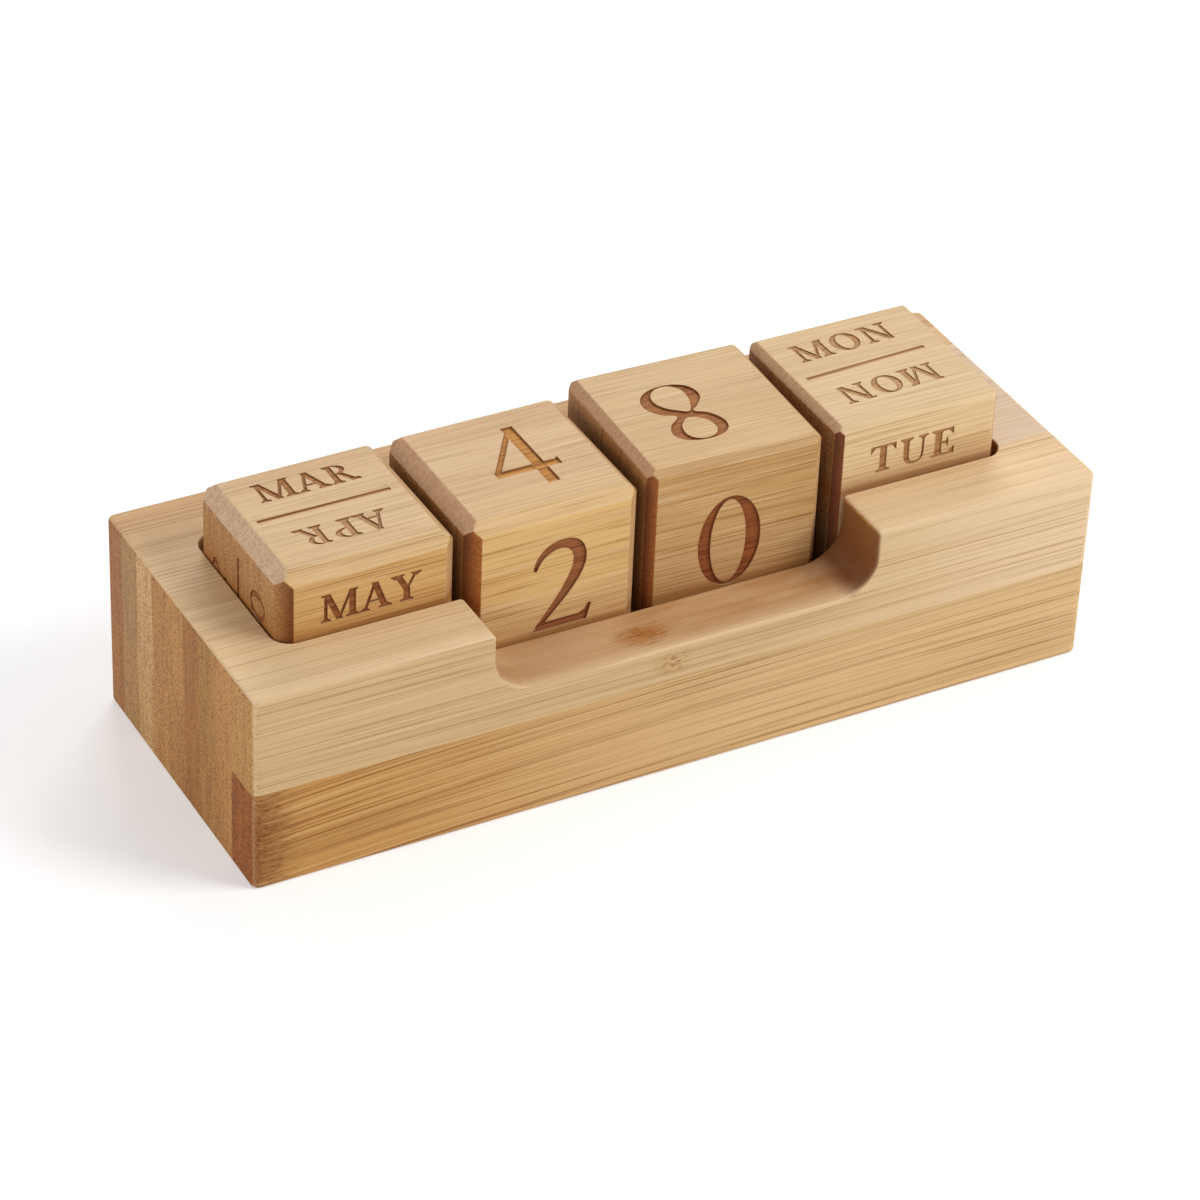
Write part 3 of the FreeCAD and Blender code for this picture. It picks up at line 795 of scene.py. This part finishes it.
# %% The soft shell round the six flat faces
SANDED = 0.7
ENGRAVED = {"month": 0.3, "tens": 0.45, "units": 0.45, "weekday": 0.25}
CUBES = {"month": (40.5, 3.0), "tens": (40.5, 2.9), "units": (41.4, 1.8), "weekday": (40.5, 1.6)}


def flat_half(side, chamfer):
    """Half the width of a flat face once its edges are sanded."""
    return side / 2 - chamfer - SANDED * (math.sqrt(2) - 1)


def unit(v):
    """The direction of each row."""
    return v / np.linalg.norm(v, axis=-1, keepdims=True)


def strip(a, b, na, nb, steps=5):
    """Quads between the offsets of the edge a to b towards normal na and towards normal nb."""
    t = np.linspace(0.0, 1.0, steps + 1)[:, None]
    turn = unit(na * (1 - t) + nb * t) * SANDED
    side = np.stack([a + turn, b + turn], 1)
    return np.stack([side[:-1, 0], side[:-1, 1], side[1:, 1], side[1:, 0]], 1)


def patch(corner, normals, steps=5):
    """Triangles of the sphere piece at a corner: directions are weighted means of the three normals."""
    i, j = np.meshgrid(np.arange(steps), np.arange(steps), indexing="ij")
    lower = np.stack([(i, j), (i + 1, j), (i, j + 1)]).transpose(2, 3, 0, 1)[i + j < steps]
    upper = np.stack([(i + 1, j), (i + 1, j + 1), (i, j + 1)]).transpose(2, 3, 0, 1)[i + j < steps - 1]
    ij = np.concatenate([lower, upper]).astype(float) / steps
    share = np.concatenate([ij, 1.0 - ij.sum(2, keepdims=True)], 2)
    return corner + unit(share @ normals) * SANDED


def shell(side, chamfer):
    """All chamfers, soft edges and soft corners of a cube, as quads, triangles and hexagons.

    The inner body's corners lie at these distances from the middle: on a flat face, half a side less the radius up
    and half the flat across; where three chamfers meet, half of side less chamfer, less the radius over root two."""
    flat, inner = flat_half(side, chamfer), side / 2 - SANDED
    peak = (side - chamfer) / 2 - SANDED / math.sqrt(2)
    quads, triangles, hexagons = [], [], []
    axes = np.eye(3)
    for k in range(3):
        i, j = (k + 1) % 3, (k + 2) % 3
        for si in (-1, 1):
            for sj in (-1, 1):
                ni, nj = axes[i] * si, axes[j] * sj
                slope = unit(ni + nj)
                on_i = np.array([ni * inner + nj * flat + axes[k] * flat * s for s in (-1, 1)])
                on_j = np.array([nj * inner + ni * flat + axes[k] * flat * s for s in (-1, 1)])
                tips = np.array([(ni + nj) * peak + axes[k] * peak * s for s in (-1, 1)])
                quads += [strip(on_i[0], on_i[1], ni, slope), strip(on_j[0], on_j[1], nj, slope)]
                hexagons.append(np.array([on_i[0], on_i[1], tips[1], on_j[1], on_j[0], tips[0]]) + slope * SANDED)
        for si in (-1, 1):
            for sj in (-1, 1):
                for sk in (-1, 1):
                    n = [axes[i] * si, axes[j] * sj, axes[k] * sk]
                    corner = n[2] * inner + (n[0] + n[1]) * flat
                    tip = (n[0] + n[1] + n[2]) * peak
                    first, second = unit(n[2] + n[0]), unit(n[2] + n[1])
                    quads.append(strip(corner, tip, first, second))
                    triangles.append(patch(corner, np.array([n[2], first, second])))
    for s in np.array(np.meshgrid((-1, 1), (-1, 1), (-1, 1))).reshape(3, -1).T:
        normals = np.array([unit(np.array(v) * s) for v in ((1, 1, 0), (0, 1, 1), (1, 0, 1))])
        triangles.append(patch(s * peak, normals))
    return np.concatenate(quads), np.concatenate(triangles), np.array(hexagons)


quads, triangles, hexagons = shell(*CUBES["month"])
print("shell:", len(quads), "quads,", len(triangles), "triangles,", len(hexagons), "chamfers")


# %% One whole cube
SIDES = {
    "top": ((1, 0, 0), (0, 1, 0)), "bottom": ((1, 0, 0), (0, -1, 0)), "front": ((1, 0, 0), (0, 0, 1)),
    "back": ((-1, 0, 0), (0, 0, 1)), "left": ((0, -1, 0), (0, 0, 1)), "right": ((0, 1, 0), (0, 0, 1)),
}


def outward(polygons):
    """The polygons, turned round where their normal points to the middle of the cube."""
    normal = np.cross(polygons[:, 1] - polygons[:, 0], polygons[:, 2] - polygons[:, 1])
    flip = (normal * polygons.mean(1)).sum(1) < 0
    polygons[flip] = polygons[flip][:, ::-1]
    return polygons


def cube_mesh(name, marks_on):
    """Joins the shell and six engraved faces, and welds points that coincide to a thousandth of a millimetre."""
    points, faces, marks, start = [], [], [], 0
    for part in shell(*CUBES[name]):
        part = outward(part)
        count, corners = part.shape[:2]
        points.append(part.reshape(-1, 3))
        marks.append(np.zeros((count * corners, 2)))
        faces.append(np.arange(count * corners).reshape(count, corners) + start)
        start += count * corners
    for side, (u, v) in SIDES.items():
        u, v = np.array(u, float), np.array(v, float)
        local, tri, walls, sunk = engraved_face(marks_on[side], flat_half(*CUBES[name]), ENGRAVED[name])
        points.append(local[:, :1] * u + local[:, 1:2] * v + (local[:, 2:] + CUBES[name][0] / 2) * np.cross(u, v))
        marks.append(sunk)
        faces += [tri + start, walls + start]
        start += len(local)
    points, marks = np.vstack(points), np.vstack(marks)
    used = np.unique(np.concatenate([f.ravel() for f in faces]))
    _, first, same = np.unique(np.round(points[used], 3), axis=0, return_index=True, return_inverse=True)
    welded = np.zeros(len(points), int)
    welded[used] = same.ravel()
    mesh = bpy.data.meshes.new(name + "_cube_engraved")
    mesh.from_pydata(points[used][first].tolist(), [], [row for f in faces for row in welded[f].tolist()])
    for label, column in (("sunk", 0), ("scorched", 1)):
        mesh.attributes.new(label, "FLOAT", "POINT").data.foreach_set("value", marks[used][first][:, column])
    mesh.validate()
    return mesh


cubes = {name: cube_mesh(name, sides) for name, sides in FACES.items()}
for name, mesh in cubes.items():
    ends = np.zeros(len(mesh.loops), int)
    mesh.loops.foreach_get("edge_index", ends)
    open_edges = int((np.bincount(ends, minlength=len(mesh.edges)) != 2).sum())
    print(name, "cube:", len(mesh.polygons), "faces, edges not shared by two faces:", open_edges)

# %% [markdown]
# ## Bamboo for the cubes
#
# The cubes are glued up too, from four plies of two staves each, so a constant colour ramp over depth and one step
# at half height tint them stave by stave. The engraving comes from the two marks stored on the points. Where
# "sunk" is 1 the bamboo is burnt to a reddish brown, in which the grain still shows as streaks, and where
# "scorched" is 1 it is darker still. The pattern has to lie along each cube, which stands a little askew in the
# pocket, so a Mapping node first moves the origin to the cube's middle and turns the axes to its sides.

# %% Where the four cubes stand
TURNS = {"month": 0.5, "tens": 0.2, "units": -1.9, "weekday": -0.2}


def cube_middle(name):
    """The middle of the box round a cube's staves, in mm."""
    corners = [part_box(n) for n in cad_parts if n.startswith(name + "_cube_")]
    low = np.min([tuple(c[0]) for c in corners], axis=0)
    high = np.max([tuple(c[1]) for c in corners], axis=0)
    return (low + high) / 2 / MM


MIDDLES = {name: cube_middle(name) for name in TURNS}
for name, middle in MIDDLES.items():
    print(name, "cube's middle, mm:", np.round(middle, 2).tolist())

# %% The finish of an engraved cube
CUBE_TONES = {
    "month": [((206, 164, 108), (166, 120, 66)), ((207, 167, 114), (168, 124, 72)), ((204, 163, 109), (166, 120, 68)),
              ((201, 158, 106), (160, 116, 66))],
    "tens": [((208, 167, 109), (168, 122, 66)), ((200, 158, 103), (160, 114, 62)), ((208, 169, 117), (170, 128, 78)),
             ((197, 154, 101), (158, 112, 62))],
    "units": [((204, 161, 103), (164, 118, 64)), ((200, 157, 103), (160, 114, 62)), ((203, 163, 111), (166, 124, 72)),
              ((204, 164, 113), (168, 126, 76))],
    "weekday": [((208, 169, 119), (172, 130, 80)), ((205, 164, 113), (168, 124, 74)), ((202, 159, 108), (164, 120, 70)),
                ((200, 156, 104), (160, 116, 68))],
}
# Painted light and shade: what red, green and blue are multiplied by on the front and back, and on the top and bottom.
CUBE_LIGHT_GAINS = {
    "month": ((1.08, 1.08, 1.00), (1.02, 1.09, 1.25)), "tens": ((1.17, 1.23, 1.25), (1.00, 1.04, 1.20)),
    "units": ((0.94, 0.94, 0.97), (1.00, 1.04, 1.13)), "weekday": ((1.27, 1.50, 1.85), (1.07, 1.18, 1.37)),
}
# The burnt floor and its streaks on the sides and on the top, how much paler the top's lower word is, how dark the rim
# is, the chamfers on the left, sloping (a painted sheen over end grain) and upright (painted shade, from its left side
# to its right), and the height above the cube's middle of the block's rim, round which painted shade darkens the cube.
MARK_TONES = {
    "month": {"sides": ((162, 100, 58), (112, 60, 30)), "top": ((182, 130, 84), (134, 82, 46)), "lower": 0.22,
              "rim": 0.34, "slope": (222, 188, 156), "corner": ((176, 122, 72), (116, 60, 18)), "rim_shade_height": 4.25},
    "tens": {"sides": ((160, 100, 60), (112, 60, 30)), "top": ((206, 146, 78), (150, 92, 42)), "lower": 0.0,
             "rim": 0.36, "slope": (208, 168, 134), "corner": ((108, 50, 14), (180, 106, 48)), "rim_shade_height": -10.75},
    "units": {"sides": ((152, 86, 44), (106, 52, 24)), "top": ((174, 116, 70), (122, 70, 36)), "lower": 0.0,
              "rim": 0.40, "slope": (198, 156, 122), "corner": ((110, 52, 18), (170, 98, 46)), "rim_shade_height": -11.2},
    "weekday": {"sides": ((186, 138, 90), (140, 90, 50)), "top": ((194, 150, 104), (150, 104, 64)), "lower": 0.05,
                "rim": 0.24, "slope": (212, 172, 134), "corner": ((96, 40, 12), (124, 62, 26)), "rim_shade_height": 4.25},
}


# On a left chamfer the product of the two directions is -0.5, on a flat face 0: from where to where it takes over.
ON_CHAMFER = (-0.22, -0.42)


def cube_finish(name, seed):
    """Bamboo by plies, with the engraving burnt in, and painted light and shade on its faces and chamfers."""
    finish = Finish(bpy.data.materials.new("bamboo_" + name + "_cube"))
    side, chamfer = CUBES[name]
    turn = math.radians(-TURNS[name])
    x, y, z = MIDDLES[name]
    moved = (-(x * math.cos(turn) - y * math.sin(turn)), -(x * math.sin(turn) + y * math.cos(turn)), -z)
    spot = finish.place(moved, turn)
    across, depth, height = (finish.along(spot, axis) for axis in (0, 1, 2))
    to_right, to_back, to_top = (finish.normal(axis) for axis in (0, 1, 2))
    upper = finish.facing(2)
    share = depth / side + 0.5
    rows, marks, (front_light_gain, top_light_gain) = CUBE_TONES[name], MARK_TONES[name], CUBE_LIGHT_GAINS[name]

    def plies(column, order):
        stops = [(0.25 * i, paint(*rows[j][column])) for i, j in enumerate(order)]
        return finish.node("ShaderNodeValToRGB", {"stops": stops}, {0: share})

    below = finish.step(height, 0.02, -0.02)
    staves = [finish.tint(plies(column, (0, 1, 2, 3)), plies(column, (2, 3, 0, 1)), below) for column in (0, 1)]
    # Painted shade: the right cut faces, seen only in the gaps, are darkened.
    cut = finish.tint(finish.tint(staves[0], paint(182, 134, 86), 0.65), paint(120, 66, 30),
                      finish.step(to_right, 0.3, 0.8, 0.0, 0.3))
    # Painted light: the front and back and the top and bottom are scaled, and the top is also paled as a painted sheen.
    tones = {"broad": [finish.vector("MULTIPLY", tone, front_light_gain) for tone in staves],
             "edge": [finish.vector("MULTIPLY", finish.tint(tone, PALE, 0.25), top_light_gain) for tone in staves],
             "end": (cut, paint(134, 88, 50)), "pale": PALE}
    bent = wander(finish, spot, seed, 0.25, 0.0)
    colour, layers = bamboo_colour(finish, bent, seed, tones, long=0.45)
    rim = marks["rim_shade_height"]
    # Painted shade: a brown band and a thin dark line round the height of the block's rim, on all but the upward faces.
    rim_shade_band = finish.step(height, rim + 7.0, rim, 0.0, 0.32) * finish.step(height, rim - 9.0, rim - 1.0)
    rim_shade_line = finish.step(height, rim + 1.4, rim, 0.0, 0.40) * finish.step(height, rim - 3.0, rim - 0.6)
    colour = finish.tint(colour, paint(158, 98, 44), (rim_shade_band + rim_shade_line) * (1.0 - upper))
    speckle = finish.step(specks(finish, bent, seed + 5.0, 0.7), -0.5, 1.2)
    # Painted sheen on the sloping left chamfers, over the speckled end grain.
    slope = finish.tint(paint(*marks["slope"]), paint(150, 112, 84), speckle * 0.5)
    colour = finish.tint(colour, slope, finish.step(to_right * abs(to_top), *ON_CHAMFER, 0.0, 0.9))
    # Painted shade on the upright left chamfers, over the speckled end grain, graded from their left side to their
    # right.
    corner = finish.tint(*(paint(*tone) for tone in marks["corner"]), finish.step(across - depth, -chamfer, chamfer))
    corner = finish.tint(corner, paint(84, 42, 16), speckle * 0.5)
    colour = finish.tint(colour, corner, finish.step(to_right * abs(to_back), *ON_CHAMFER, 0.0, 0.95))
    sunk, scorched = (finish.node("ShaderNodeAttribute", {"attribute_name": mark}, out="Fac")
                      for mark in ("sunk", "scorched"))
    cross = layers["streak"] * 0.5 + layers["dark"] * 0.4 + (layers["fine"] - 0.5) * 1.6 + (layers["fibre"] - 0.5) * 1.0
    lower = finish.step(depth, 2.0, -2.0, 0.0, marks["lower"])
    floor, streak = (finish.tint(paint(*on_side), finish.tint(paint(*on_top), PALE, lower), upper)
                     for on_side, on_top in zip(marks["sides"], marks["top"]))
    burn = finish.tint(floor, streak, finish.step(cross, -0.3, 1.1))
    colour = finish.tint(colour, burn, sunk)
    colour = finish.tint(colour, paint(92, 46, 20), scorched * (0.12 + sunk * marks["rim"]))
    roughness = 0.54 + (layers["fibre"] - 0.5) * 0.16 + sunk * 0.25
    return coat(finish, colour, roughness, layers["fibre"] * 0.6 + layers["fine"] * 0.4, 0.035)


# %% Put the cubes in their places
for order, (name, mesh) in enumerate(cubes.items()):
    mesh.materials.append(cube_finish(name, 11.3 + 2.7 * order))
    middle = Matrix.Translation(Vector(MIDDLES[name]) * MM)
    mesh.transform(middle @ Matrix.Rotation(math.radians(TURNS[name]), 4, "Z") @ Matrix.Scale(MM, 4))
    cube = bpy.data.objects.new(name + "_cube_engraved", mesh)
    bpy.context.scene.collection.objects.link(cube)
    staves = [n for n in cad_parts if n.startswith(name + "_cube_stave")]
    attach(cube, name + "_cube")
    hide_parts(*staves)
    co = np.array([tuple(v.co) for v in mesh.vertices]) / MM
    print(name, "cube stands for", len(staves), "staves; box", np.round([co.min(0), co.max(0)], 2).tolist())

# %% [markdown]
# ## Floor, sky and lamps
#
# The photograph is a studio shot on white. The floor is a pale sheet that lies under the block and keeps its soft
# shadow. For camera and mirror rays it also glows a little, so that it shows as white where no shadow falls,
# without any more light on the object. The sky gives even light from all sides. One large soft lamp stands to the
# right of the front, high up, and makes the tops and the right edges the lightest faces. A weaker one behind draws
# a sheen over the tops, and the weakest, low on the left, keeps the cut end from sinking into shade.

# %% The floor
FLOOR_GLOW = 0.30


def floor_finish():
    """White paper: diffuse, with a glow that only camera, mirror and glass rays see."""
    finish = Finish(bpy.data.materials.new("studio_paper"))
    tooth = finish.clouds(finish.place(), (3.0, 3.0, 3.0), (0.0, 0.0, 0.0), 3.0)
    white = finish.tint(paint(234, 235, 238), paint(238, 239, 242), tooth)
    paper = finish.node("ShaderNodeBsdfDiffuse", None, {"Color": white})
    glow = finish.node("ShaderNodeEmission", None, {"Color": (1.0, 1.0, 1.0, 1.0), "Strength": FLOOR_GLOW})
    both = finish.node("ShaderNodeAddShader", None, {0: paper, 1: glow})
    camera, mirror, glass = (finish.node("ShaderNodeLightPath", out=ray)
                             for ray in ("Is Camera Ray", "Is Glossy Ray", "Is Transmission Ray"))
    mixed = finish.node("ShaderNodeMixShader", None, {0: camera + mirror + glass, 1: paper, 2: both})
    finish.node("ShaderNodeOutputMaterial", None, {"Surface": mixed})
    return finish.owner


floor_mesh = bpy.data.meshes.new("studio_floor")
floor_mesh.from_pydata([(-4, -4, 0), (4, -4, 0), (4, 4, 0), (-4, 4, 0)], [], [(0, 1, 2, 3)])
floor_mesh.materials.append(floor_finish())
floor = bpy.data.objects.new("studio_floor", floor_mesh)
bpy.context.scene.collection.objects.link(floor)
print("floor laid")

# %% The sky
SKY = 0.375
world = bpy.data.worlds.new("studio_sky")
bpy.context.scene.world = world
sky = Finish(world)
light = sky.node("ShaderNodeBackground", None, {"Color": (1.0, 0.985, 0.965, 1.0), "Strength": SKY})
white = sky.node("ShaderNodeBackground", None, {"Color": (1.0, 1.0, 1.0, 1.0), "Strength": 1.0})
to_camera = sky.node("ShaderNodeLightPath", out="Is Camera Ray")
seen = sky.node("ShaderNodeMixShader", None, {0: to_camera, 1: light, 2: white})
sky.node("ShaderNodeOutputWorld", None, {"Surface": seen})
print("sky at", SKY)


# %% The lamps
def soft_lamp(name, at, size, watts, colour=(1.0, 1.0, 1.0)):
    """A square lamp at a point in mm, turned to the middle of the block."""
    lamp = bpy.data.lights.new(name, "AREA")
    lamp.shape, lamp.size, lamp.energy, lamp.color = "SQUARE", size * MM, watts, colour
    made = bpy.data.objects.new(name, lamp)
    bpy.context.scene.collection.objects.link(made)
    made.matrix_world = Matrix.Translation(Vector(at) * MM) @ Vector(at).to_track_quat("Z", "Y").to_matrix().to_4x4()


LAMP_SIZE = 700
soft_lamp("lamp_right", (900, -700, 900), LAMP_SIZE, 13.1, (1.0, 0.985, 0.96))
soft_lamp("lamp_behind", (500, 900, 800), LAMP_SIZE, 6.3)
soft_lamp("lamp_left", (-1100, -250, 450), LAMP_SIZE, 5.2, (1.0, 0.97, 0.92))
